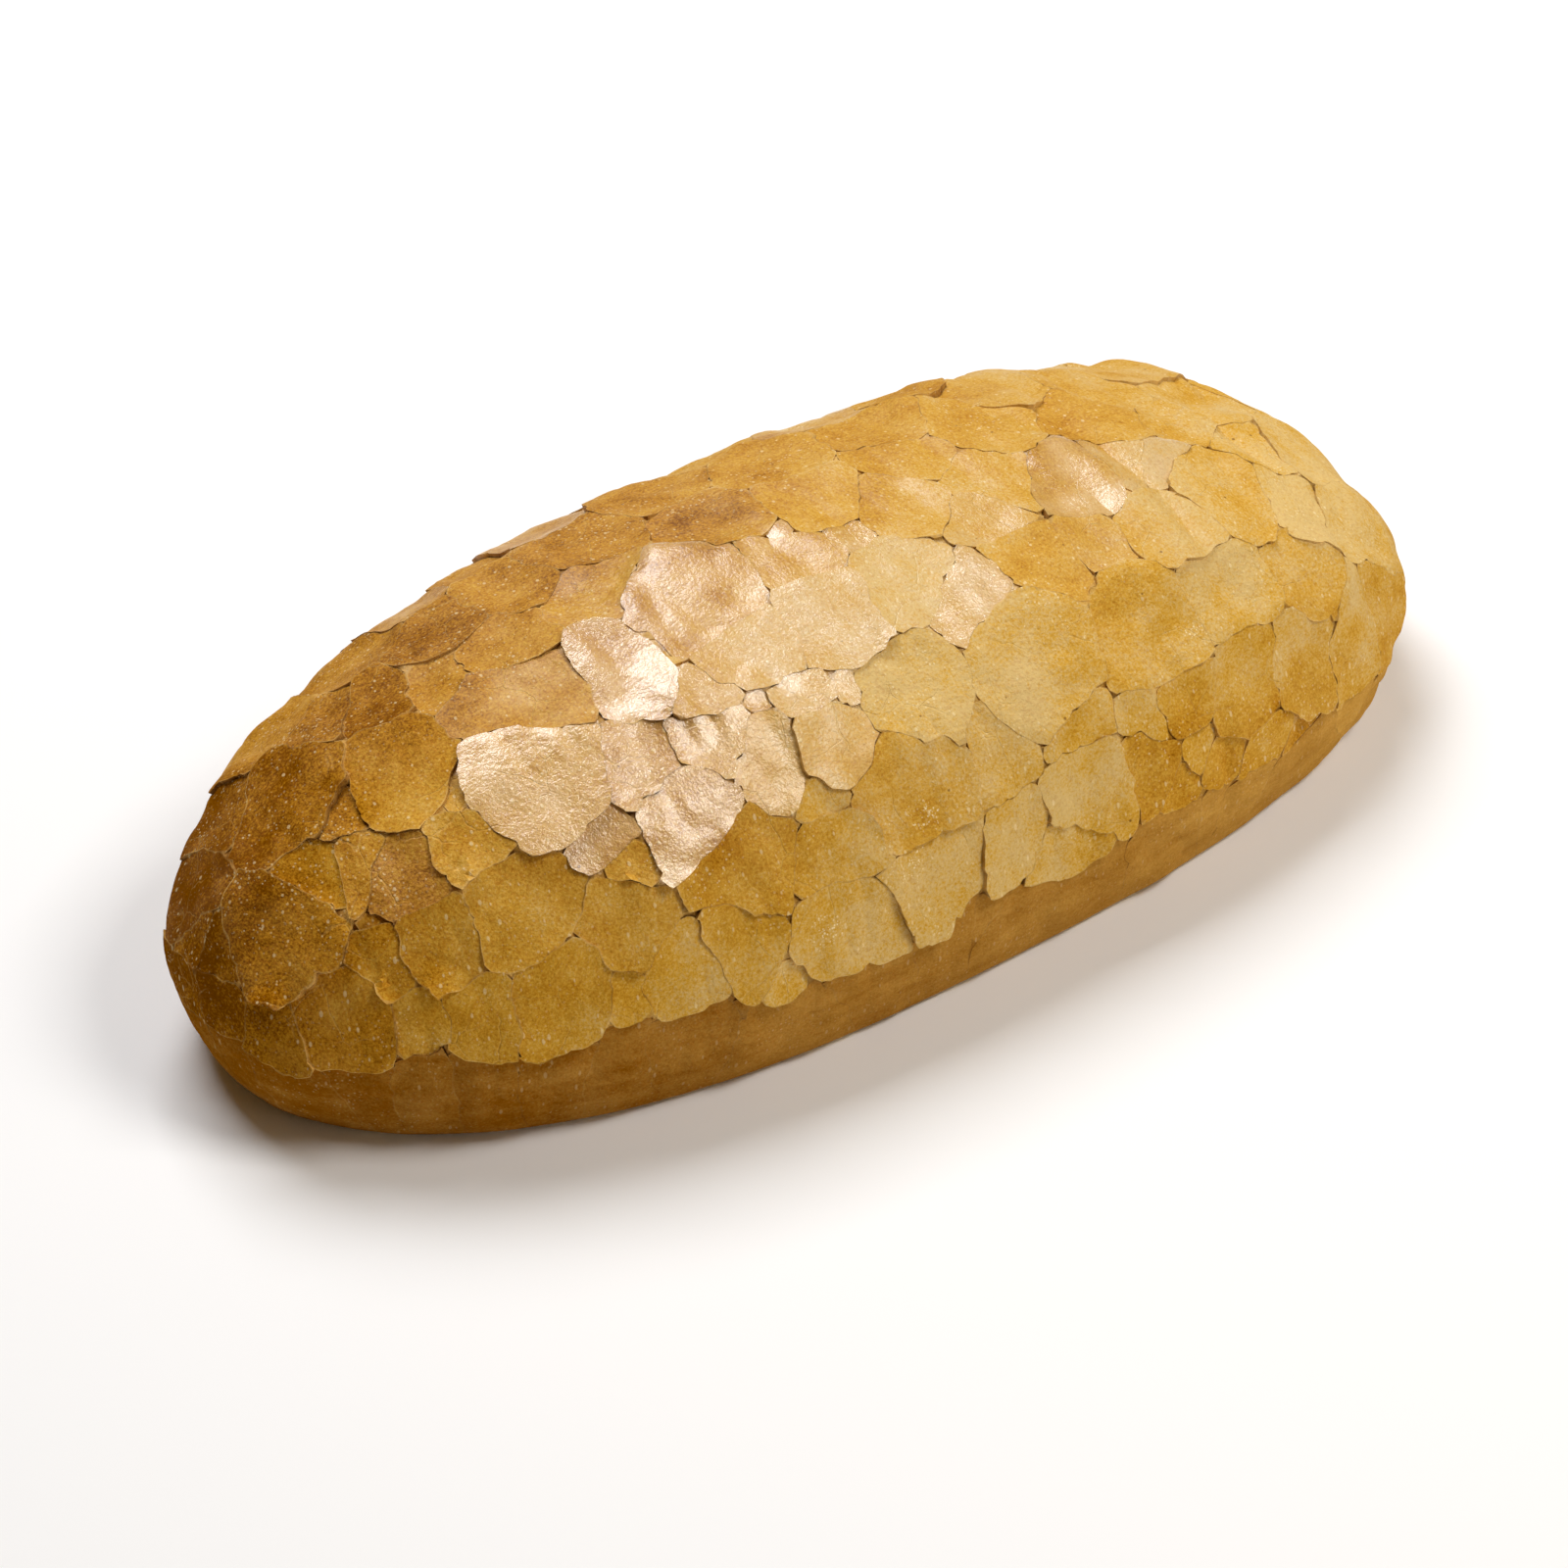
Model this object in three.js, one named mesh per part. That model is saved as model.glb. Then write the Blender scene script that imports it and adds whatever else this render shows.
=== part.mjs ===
// A free-form rye loaf, baked as one piece on a flat hearth.
//
// Frame: millimetres, +Z up, +X along the loaf. The origin is the middle of the flat underside.
// The body is a turned profile (underside, rounded foot, belly, crown) whose rings are stretched
// from circles into a long oval. Its crust is then pressed into broad flats, as the crust plates are.

import * as THREE from "three";
import { mergeVertices } from "three/addons/utils/BufferGeometryUtils.js";

// Driving dimensions.
const LENGTH = 300;
const WIDTH = 138;
const HEIGHT = 84;
const BELLY_HEIGHT = 20; // height of the widest ring above the hearth
const FOOT_INSET = 0.085; // how far the foot tucks in under the belly, as a share of the half width

// How full the outlines are: 2 is an ellipse, and more is squarer.
const CROWN_SIDE_FULLNESS = 2.0;
const CROWN_TOP_FULLNESS = 2.25;
const PLAN_FULLNESS = 2.5;
const END_DIFFERENCE = 0.16; // the +X end is squarer in plan, and the -X end is more pointed
const WIDTH_TAPER = 0.03; // the +X end is a little wider
const RISE_TAPER = -0.08; // the -X end has risen higher

// Mesh density.
const AROUND = 104;
const CROWN_STEPS = 24;
const FOOT_STEPS = 5;
const UNDERSIDE_STEPS = 3;

// Crust flats.
const PLATE_COUNT = 150;
const PLATE_PRESS = 0.62; // 0 leaves the smooth dough, and 1 makes each plate a true plane
const PLATE_SAG = 1.1; // how far a plate's middle sits inside the smooth dough
const GOLDEN_ANGLE = Math.PI * (3 - Math.sqrt(5));

const QUARTER_TURN = Math.PI / 2;

// Half-section of the loaf as (share of the half width, height), from the underside's middle to the crown.
function halfSection() {
  const foot = 1 - FOOT_INSET;
  const points = [];
  for (let i = 0; i < UNDERSIDE_STEPS; i++) {
    points.push(new THREE.Vector2((foot * i) / UNDERSIDE_STEPS, 0));
  }
  for (let i = 0; i < FOOT_STEPS; i++) {
    const turn = (QUARTER_TURN * i) / FOOT_STEPS;
    const share = foot + FOOT_INSET * Math.sin(turn);
    points.push(new THREE.Vector2(share, BELLY_HEIGHT * (1 - Math.cos(turn))));
  }
  for (let i = 0; i <= CROWN_STEPS; i++) {
    points.push(crownPoint(i / CROWN_STEPS));
  }
  return points;
}

// A point of the crown's superellipse arc: rise 0 is the belly and rise 1 is the top.
function crownPoint(rise) {
  const turn = QUARTER_TURN * rise;
  const share = rise === 1 ? 0 : Math.cos(turn) ** (2 / CROWN_SIDE_FULLNESS);
  const height = BELLY_HEIGHT + (HEIGHT - BELLY_HEIGHT) * Math.sin(turn) ** (2 / CROWN_TOP_FULLNESS);
  return new THREE.Vector2(share, height);
}

// Stretches a point of the turned body, whose rings have radius 1 at the belly, into the loaf's oval.
function stretch(point) {
  const share = Math.hypot(point.x, point.y);
  const angle = Math.atan2(point.y, point.x);
  const [along, across] = [Math.cos(angle), Math.sin(angle)];
  const power = 2 / (PLAN_FULLNESS * (1 + END_DIFFERENCE * along));
  const u = share * Math.sign(along) * Math.abs(along) ** power;
  const v = share * Math.sign(across) * Math.abs(across) ** power;
  return new THREE.Vector3(
    (LENGTH / 2) * u,
    (WIDTH / 2) * v * (1 + WIDTH_TAPER * u),
    point.z * (1 + RISE_TAPER * u),
  );
}

// The smooth dough's surface at an angle round the loaf and a rise from the belly to the top.
function doughSurface(angle, rise) {
  const { x: share, y: height } = crownPoint(rise);
  return stretch(new THREE.Vector3(share * Math.cos(angle), share * Math.sin(angle), height));
}

// Plates follow a sunflower spiral from the top down to the belly, each with its middle and outward normal.
function crustPlates() {
  const nudge = 0.004;
  return Array.from({ length: PLATE_COUNT }, (_, i) => {
    const angle = GOLDEN_ANGLE * i;
    const rise = Math.min(0.98, 1 - ((i + 0.5) / PLATE_COUNT) ** 0.62);
    const middle = doughSurface(angle, rise);
    const around = doughSurface(angle + nudge, rise).sub(middle);
    const upward = doughSurface(angle, rise + nudge).sub(middle);
    return { middle, normal: around.cross(upward).normalize() };
  });
}

// Moves each point above the foot towards the tangent plane of its nearest plate.
function pressPlates(positions, normals) {
  const plates = crustPlates();
  const point = new THREE.Vector3();
  const normal = new THREE.Vector3();
  const toMiddle = new THREE.Vector3();
  for (let i = 0; i < positions.count; i++) {
    point.fromBufferAttribute(positions, i);
    normal.fromBufferAttribute(normals, i);
    const plate = plates.reduce((best, other) =>
      other.middle.distanceToSquared(point) < best.middle.distanceToSquared(point) ? other : best,
    );
    toMiddle.subVectors(plate.middle, point);
    const toPlane = toMiddle.dot(plate.normal) / Math.max(0.5, normal.dot(plate.normal));
    const fade = THREE.MathUtils.smoothstep(point.z, 0, BELLY_HEIGHT);
    point.addScaledVector(normal, fade * PLATE_PRESS * (toPlane - PLATE_SAG));
    positions.setXYZ(i, point.x, point.y, point.z);
  }
}

// Scales the pressed body back to the stated length, width and height, standing on the origin.
function fitToSize(geometry) {
  geometry.computeBoundingBox();
  const { min, max } = geometry.boundingBox;
  geometry.translate(-(min.x + max.x) / 2, -(min.y + max.y) / 2, -min.z);
  geometry.scale(LENGTH / (max.x - min.x), WIDTH / (max.y - min.y), HEIGHT / (max.z - min.z));
}

function loafGeometry() {
  const turned = new THREE.LatheGeometry(halfSection(), AROUND);
  turned.rotateX(QUARTER_TURN);
  turned.deleteAttribute("uv");
  turned.deleteAttribute("normal");
  const geometry = mergeVertices(turned);
  const positions = geometry.getAttribute("position");
  const point = new THREE.Vector3();
  for (let i = 0; i < positions.count; i++) {
    point.fromBufferAttribute(positions, i);
    positions.setXYZ(i, ...stretch(point).toArray());
  }
  geometry.computeVertexNormals();
  pressPlates(positions, geometry.getAttribute("normal"));
  fitToSize(geometry);
  geometry.computeVertexNormals();
  return geometry;
}

const crust = new THREE.MeshStandardMaterial({
  name: "crust",
  color: 0xc9963c,
  roughness: 0.55,
  metalness: 0,
});

const loaf = new THREE.Mesh(loafGeometry(), crust);
loaf.name = "rye_loaf";

const part = new THREE.Group();
part.add(loaf);

export default part;
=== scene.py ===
"""A rye loaf with a crackled crust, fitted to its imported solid's box, on a plain floor in soft light.

The crust is worked out in three steps, each on whole arrays:
1. the dough, a smooth loaf given by an unrolled place, in millimetres along and across from the crest;
2. the plates, a power diagram of plate middles on the dough, whose borders are made ragged by noise;
3. the relief, each plate's own flat, dish, slopes and curl, with cracks opened along some of the borders.
"""

import itertools
import math
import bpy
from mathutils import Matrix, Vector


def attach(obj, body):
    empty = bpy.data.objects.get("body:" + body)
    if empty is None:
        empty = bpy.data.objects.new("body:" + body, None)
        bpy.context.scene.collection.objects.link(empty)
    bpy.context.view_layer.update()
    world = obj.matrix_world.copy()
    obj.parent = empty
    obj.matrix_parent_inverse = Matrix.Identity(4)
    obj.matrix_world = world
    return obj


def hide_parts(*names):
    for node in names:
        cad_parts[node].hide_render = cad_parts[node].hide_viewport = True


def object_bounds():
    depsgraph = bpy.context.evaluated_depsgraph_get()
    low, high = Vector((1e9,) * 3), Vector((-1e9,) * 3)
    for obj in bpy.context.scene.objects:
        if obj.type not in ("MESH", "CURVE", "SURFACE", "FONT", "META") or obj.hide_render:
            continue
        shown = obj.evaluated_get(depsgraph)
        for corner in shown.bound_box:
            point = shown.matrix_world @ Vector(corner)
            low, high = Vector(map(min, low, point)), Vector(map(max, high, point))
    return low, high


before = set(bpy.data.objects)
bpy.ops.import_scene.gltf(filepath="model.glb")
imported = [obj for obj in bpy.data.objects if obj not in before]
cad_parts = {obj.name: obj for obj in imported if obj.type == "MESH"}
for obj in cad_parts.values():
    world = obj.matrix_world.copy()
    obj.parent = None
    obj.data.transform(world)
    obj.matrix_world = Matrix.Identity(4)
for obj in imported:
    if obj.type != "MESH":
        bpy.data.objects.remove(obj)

from types import SimpleNamespace

import bpy
import numpy as np
from mathutils import Vector
from mathutils.geometry import delaunay_2d_cdt

bl_info = {
    "name": "Rye Loaf",
    "version": (1, 0, 0),
    "blender": (4, 5, 0),
    "location": "View3D > Sidebar > Loaf",
    "description": "A hearth-baked rye loaf with a crackled crust",
    "category": "Add Mesh",
}

MM = 0.001
CAD_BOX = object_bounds()
LOW, HIGH = (np.array(corner) / MM for corner in CAD_BOX)
SIZE = HIGH - LOW
TINY = 1e-12  # keeps a division from meeting zero
SHARP = math.radians(28)  # an edge that folds more is shaded as a sharp one


# ---- settings


def amount(name, description, default, **limits):
    """A number that a user may change."""
    return bpy.props.FloatProperty(name=name, description=description, default=default, **limits)


def share(name, description, default, most=1.0):
    """A share that a user may change, from 0 up."""
    return amount(name, description, default, min=0.0, max=most, subtype="FACTOR")


def length(name, description, default, **limits):
    """A length in millimetres that a user may change."""
    return amount(name, f"{description}, in millimetres", default, **limits)


def swatch(name, finish, default):
    """The colour of a finish, which a user may change."""
    details = {"description": f"Colour of the {finish}", "default": default, "subtype": "COLOR"}
    return bpy.props.FloatVectorProperty(name=name, size=3, **details)


class LoafForm(bpy.types.PropertyGroup):
    """The smooth loaf's shape, apart from its length, width and height, which the frame gives."""

    belly: length("Belly height", "Height of the widest ring above the floor", 20.0, min=1.0)
    foot_inset: share(
        "Foot inset", "Share of the half width by which the foot tucks in under the belly", 0.085, most=0.5
    )
    side_fullness: amount(
        "Side fullness", "Power of the crown's outline towards the sides; 2 is an ellipse", 2.0, min=1.0
    )
    top_fullness: amount(
        "Top fullness", "Power of the crown's outline towards the top; 2 is an ellipse", 2.25, min=1.0
    )
    plan_fullness: amount(
        "Plan fullness", "Power of the outline from above; 2 is an ellipse", 2.5, min=1.0
    )
    end_difference: amount(
        "End difference", "How much squarer the +X end is from above than the -X end", 0.16
    )
    width_taper: amount("Width taper", "Share by which the +X end is wider", 0.03)
    rise_taper: amount(
        "Rise taper", "Share by which the +X end is higher; negative makes the -X end higher", -0.08
    )


class CrustForm(bpy.types.PropertyGroup):
    """The plates and cracks of the crust. Lengths are in millimetres."""

    seed: bpy.props.IntProperty(
        name="Seed", description="Number that the random plates start from", default=11
    )
    spacing: length("Plate spacing", "Usual distance between the middles of two plates", 25.0, min=8.0)
    press: share("Flatness", "0 leaves the round dough, and 1 makes each plate flat", 0.75)
    bulge: length("Bulge", "Most that a flat plate departs from the round dough", 1.3, min=0.1)
    dish: length("Dish", "How far a plate's rim stands above its middle", 0.8)
    hem: length("Band height", "Height above the floor of the plates' lower border", 24.0)
    crack_width: length("Crack width", "Width of a fully open crack", 0.32)
    crack_depth: length("Crack depth", "Depth of a fully open crack", 0.9)
    cells: bpy.props.IntVectorProperty(
        name="Cells",
        description="Cells of the crust's grid along and across the loaf",
        size=2,
        default=(350, 220),
    )


class CrustFinish(bpy.types.PropertyGroup):
    """Colours of the baked crust, some of which also stand for painted light and shade."""

    # the four plate colours are one ramp that carries painted light and shade along with the baking: the
    # darkest plates at the -X end are partly baked darker and partly painted shade, and the paler plates on
    # the +X crest and the near side's middle are partly painted light and sheen
    dark: swatch("Dark plate", "darkest baked plates, at the -X end", (0.19, 0.060, 0.0))
    deep: swatch("Deep plate", "deep golden plates", (0.46, 0.20, 0.010))
    golden: swatch("Golden plate", "golden plates", (0.62, 0.34, 0.036))
    pale: swatch("Pale plate", "palest, least baked plates, at the +X end", (0.68, 0.47, 0.17))
    # the band is darker towards the -X end, partly from the baking and partly as painted shade
    band_deep: swatch("Deep band", "smooth band at the foot at the -X end", (0.25, 0.083, 0.0))
    band_pale: swatch("Pale band", "smooth band at the foot at the +X end", (0.64, 0.36, 0.075))
    # a painted highlight: the pale pinkish colour that the glossy plates are mixed towards
    painted_highlight: swatch("Painted_highlight", "thin pale crust on the glossy plates", (0.82, 0.60, 0.40))
    # the lips' pale colour is partly inner crust and partly a painted highlight on the lit edges
    lip: swatch("Lip", "pale inner crust that shows on the plates' broken edges", (0.78, 0.52, 0.18))
    # the crack colour is painted shade at the bottom of open cracks and along the seams, and also the
    # bran's own colour
    crack: swatch("Crack", "bottom of an open crack", (0.15, 0.052, 0.005))
    rust: swatch("Rust", "fine orange-brown grain", (0.40, 0.12, 0.004))
    flour: swatch("Flour", "pale specks of flour", (0.90, 0.74, 0.42))
    underside: swatch("Underside", "floury, hearth-baked underside", (0.48, 0.29, 0.12))


class StageForm(bpy.types.PropertyGroup):
    """The camera's place and the studio's lights."""

    azimuth: amount(
        "Azimuth", "Camera's turn round the loaf; 0 looks along +Y", math.radians(-35.73), subtype="ANGLE"
    )
    elevation: amount(
        "Elevation", "Camera's height above the horizon", math.radians(40.76), subtype="ANGLE"
    )
    distance: amount("Distance", "Camera's distance from the point it looks at", 0.991, unit="LENGTH")
    lens: amount("Lens", "Camera's focal length in millimetres on a 36 mm sensor", 106.3)
    aim: bpy.props.FloatVectorProperty(
        name="Aim",
        description="Point that the camera looks at",
        subtype="XYZ",
        unit="LENGTH",
        size=3,
        default=(-0.0110, -0.0085, 0.0205),
    )
    key_power: amount("Key light", "Power of the softbox above and in front, in watts", 7.6)
    back_power: amount("Back light", "Power of the softbox above and behind, in watts", 14.5)
    fill_power: amount("Fill light", "Power of the low softbox in front, in watts", 3.0)
    sky: amount("Sky", "Strength of the warm even light from all round", 0.10)


SETTINGS = {
    "loaf_form": LoafForm,
    "crust_form": CrustForm,
    "crust_finish": CrustFinish,
    "stage_form": StageForm,
}


# ---- small sums


def ease(low, high, value):
    """0 below low and 1 above high, with the cubic 3t^2 - 2t^3 between."""
    t = np.clip((value - low) / (high - low), 0, 1)
    return t * t * (3 - 2 * t)


def unit(vectors):
    """Each vector over its own length."""
    return vectors / np.maximum(np.linalg.norm(vectors, axis=-1, keepdims=True), TINY)


def dot(first, second):
    """Sum of the products of two rows of vectors."""
    return np.einsum("...i,...i->...", first, second)


NOISE_NUMBERS = 4096  # a power of 2
NOISE_PRIMES = (73856093, 19349663, 83492791)

# The relief's noises: each one's cell in millimetres, and its seed.
OPENING = 13.0, 401
JOINING = 15.0, 431
FRAYING = 9.0, 441
BAND_SWELLS = 24.0, 501
FOLDS = 17.0, 601
SMALL_FOLDS = 7.5, 611
SWELLS = 12.0, 605
PEBBLING = 2.6, 621
CRACK_FLOOR = 5.0, 631
PITS = 13.0, 701
SMALL_PITS = 4.5, 711


def noise(points, cell, seed):
    """Smooth noise in -1 to 1: random numbers at the corners of cubes of side cell, blended by the
    quintic weights 6t^5 - 15t^4 + 10t^3."""
    table = np.random.default_rng(seed).uniform(-1, 1, NOISE_NUMBERS)
    scaled = points / cell
    corner = np.floor(scaled).astype(np.int64)
    t = scaled - corner
    weight = t * t * t * (t * (t * 6 - 15) + 10)
    total = np.zeros(points.shape[:-1])
    for step in itertools.product((0, 1), repeat=3):
        key = (corner + step) * NOISE_PRIMES
        value = table[(key[..., 0] ^ key[..., 1] ^ key[..., 2]) & (NOISE_NUMBERS - 1)]
        share = np.where(step, weight, 1 - weight)
        total += value * share.prod(axis=-1)
    return total


def warp(points, cell, reach, seed, kinked):
    """The points moved by three noises of one cell size, up to reach each way. Kinked noise is folded
    at 0, which gives it corners."""
    shift = np.stack([noise(points, cell, seed + axis) for axis in range(3)], axis=-1)
    return points + reach * (2 * np.abs(shift) - 0.5 if kinked else shift)


def pair_chance(first, second, salt):
    """A fixed random number in 0 to 1 for each unordered pair of plates: the last digits of a sine."""
    low, high = np.minimum(first, second), np.maximum(first, second)
    return (np.sin(low * 127.1 + high * 311.7 + salt * 74.7) * 43758.5453) % 1


# ---- the dough


class Dough:
    """The smooth loaf. Its half section is carried round rings that are superellipses from above."""

    SAMPLES = 600  # points on the crown's curve, and on the foot's
    MEAN_REACH = 90.0  # the half width at which the section's arc length is measured

    def __init__(self, form):
        self.form = form
        self.half = SIZE / 2
        turn = np.linspace(0, math.pi / 2, self.SAMPLES)
        crown_share = np.sin(turn) ** (2 / form.side_fullness)
        crown_rise = np.cos(turn) ** (2 / form.top_fullness)
        foot_share = 1 - form.foot_inset * (1 - np.cos(turn))
        foot_rise = form.belly * (1 - np.sin(turn))
        self.share = np.concatenate([crown_share, foot_share[1:]])
        crown_height = form.belly + (SIZE[2] - form.belly) * crown_rise
        self.height = np.concatenate([crown_height, foot_rise[1:]])
        steps = np.hypot(np.diff(self.share) * self.MEAN_REACH, np.diff(self.height))
        self.arc = np.concatenate([[0], np.cumsum(steps)]) / steps.sum()
        self.unrolled = np.array([self._reach(half) for half in self.half[:2]])

    def _reach(self, half):
        """Length of the half section, crest to foot, at a given half width."""
        return np.hypot(np.diff(self.share) * half, np.diff(self.height)).sum()

    def ring_power(self, direction):
        """The superellipse power of the rings, which grows towards the +X end."""
        return self.form.plan_fullness * (1 + self.form.end_difference * direction[..., 0])

    def ring_norm(self, direction):
        """The superellipse norm of a direction: the root of the sum of its parts' powers."""
        power = self.ring_power(direction)[..., None]
        return np.maximum((np.abs(direction) ** power).sum(-1, keepdims=True), TINY) ** (1 / power)

    def ring(self, place):
        """Ring that a place lies on, 0 at the crest and 1 at the foot, and its place on the outline."""
        scaled = place / self.unrolled
        direction = unit(scaled)
        outline = direction / self.ring_norm(direction)
        ring = np.linalg.norm(scaled, axis=-1) / np.maximum(np.linalg.norm(outline, axis=-1), TINY)
        return ring, outline

    def point(self, place):
        """The dough's point: its ring's share of the half sizes along the outline, and its height, both
        tapered along the loaf."""
        ring, outline = self.ring(place)
        flat = outline * np.interp(ring, self.arc, self.share)[..., None]
        height = np.interp(ring, self.arc, self.height)
        u, v = flat[..., 0], flat[..., 1]
        x = self.half[0] * u
        y = self.half[1] * v * (1 + self.form.width_taper * u)
        z = height * (1 + self.form.rise_taper * u)
        return np.stack([x, y, z], axis=-1)

    def normal(self, place, nudge=0.4):
        """Outward normal: the cross product of the differences along the two unrolled directions."""
        along, across = np.array([nudge, 0]), np.array([0, nudge])
        du = self.point(place + along) - self.point(place - along)
        dv = self.point(place + across) - self.point(place - across)
        return unit(np.cross(du, dv))

    def grid(self, cells):
        """Unrolled places of a square grid: the square is rounded to a disc, then to the loaf's outline."""
        p, q = np.meshgrid(*(np.linspace(-1, 1, count + 1) for count in cells), indexing="ij")
        disc = np.stack([p * np.sqrt(1 - q * q / 2), q * np.sqrt(1 - p * p / 2)], axis=-1)
        return disc / self.ring_norm(unit(disc)) * self.unrolled


# ---- the plates

# Plates of the shown side: millimetres along and across from the crest, the plate's radius, and how much it
# shines, from 0 for matt to 9 for the glossiest. The glossier plates also get a painted highlight colour.
SHOWN_PLATES = [
    # the -X end, from the crest down
    (-138, 20, 12, 1), (-122, 26, 12, 1), (-149, 10, 10, 1), (-148, -9, 11, 0), (-160, -11, 13, 0),
    (-168, 10, 14, 0), (-132, -21, 16, 1), (-117, -16, 11, 0), (-152, -31, 13, 0), (-136, -43, 16, 0),
    (-120, -44, 13, 0), (-110, 9, 15, 1), (-101, -7, 10, 2), (-109, -22, 10, 2), (-104, -32, 11, 4),
    (-115, -38, 9, 1), (-107, -49, 13, 1),
    # the back of the crest
    (-100, 41, 12, 2), (-80, 42, 12, 2), (-92, 27, 11, 2), (-82, 17, 10, 1), (-72, 9, 9, 2),
    (-64, 27, 11, 2), (-58, 7, 12, 2), (-50, 27, 12, 2), (-39, 9, 13, 4), (-30, 29, 12, 2),
    (-10, 16, 13, 3), (-12, 38, 12, 2), (8, 27, 13, 2), (7, 8, 13, 3), (32, 25, 12, 2), (30, 9, 12, 3),
    (48, 14, 14, 3), (62, 30, 13, 3), (70, 8, 13, 2), (82, 22, 13, 3), (90, 2, 13, 2), (104, 16, 13, 2),
    (100, 36, 13, 3), (-6, 4, 5, 8),
    # the crown's near shoulder
    (-91, -9, 14, 1), (-85, -20, 8, 1), (-90, -36, 10, 2), (-64, -11, 17, 3), (-71, -29, 17, 8),
    (-47, -16, 14, 9), (-38, -15, 10, 3), (-26, -11, 17, 7), (-24, -27, 14, 7), (-8, -12, 12, 6),
    (-9, -30, 14, 7), (7, -9, 8, 9), (9, -29, 13, 5), (20, -6, 13, 4), (30, -18, 11, 6), (38, -6, 12, 4),
    (17, -40, 13, 9), (53, -16, 12, 8), (66, -17, 10, 6), (65, -37, 12, 4), (77, -22, 10, 7),
    (33, -37, 13, 2), (47, -37, 11, 5), (84, -32, 15, 2), (102, -14, 14, 1), (101, -37, 15, 1),
    (120, -16, 14, 1), (120, -42, 15, 1),
    # the glossy plates above the middle, and the small ones among them
    (-57, -39, 12, 9), (-70, -50, 10, 8), (-53, -56, 13, 9), (-42, -44, 10, 9), (-36, -33, 8, 9),
    (-28, -35, 5, 8), (-29, -42, 4, 9), (-22, -44, 8, 9), (-13, -49, 8, 8), (-35, -58, 12, 6),
    (-21, -59, 11, 5),
    # the near flank
    (-91, -54, 15, 1), (-68, -58, 10, 2), (-76, -70, 13, 1), (-47, -70, 14, 0), (-29, -69, 9, 0),
    (-31, -79, 12, 0), (-10, -72, 16, 1), (-2, -57, 17, 0), (8, -71, 12, 1), (24, -59, 18, 0),
    (29, -74, 12, 0), (49, -61, 17, 0), (46, -76, 11, 0), (72, -58, 14, 0), (92, -58, 13, 1),
    (72, -79, 13, 0), (53, -74, 12, 0), (93, -78, 14, 1), (112, -74, 14, 1), (128, -66, 14, 1),
    # the lowest plates, above the band
    (-124, -56, 12, 1), (-110, -66, 12, 0), (-97, -74, 14, 0), (-71, -86, 13, 0), (-59, -86, 12, 0),
    (-86, -82, 10, 0), (-35, -94, 14, 0), (-48, -97, 8, 0), (-11, -91, 15, 0), (9, -92, 11, 0),
    (29, -87, 13, 0), (22, -99, 10, 0), (43, -87, 10, 0), (60, -89, 7, 0), (68, -92, 8, 0),
    (56, -95, 6, 0), (84, -92, 10, 0), (98, -93, 9, 0),
]
GLOSSIEST = 9

# Shown plates whose lowest tip has curled up into a flake.
FLAKED_PLATES = {(-132, -21), (-120, -44), (-107, -49), (-90, -36), (-68, -58)}

# Patches of loose flour: millimetres along and across from the crest, and the patch's radius.
FLOUR_PATCHES = [
    (-10, -80, 5), (-16, -88, 4), (-40, -92, 5), (-63, -62, 3), (60, -64, 4), (28, 60, 6), (-70, 70, 5),
    (96, 52, 6),
]


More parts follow.
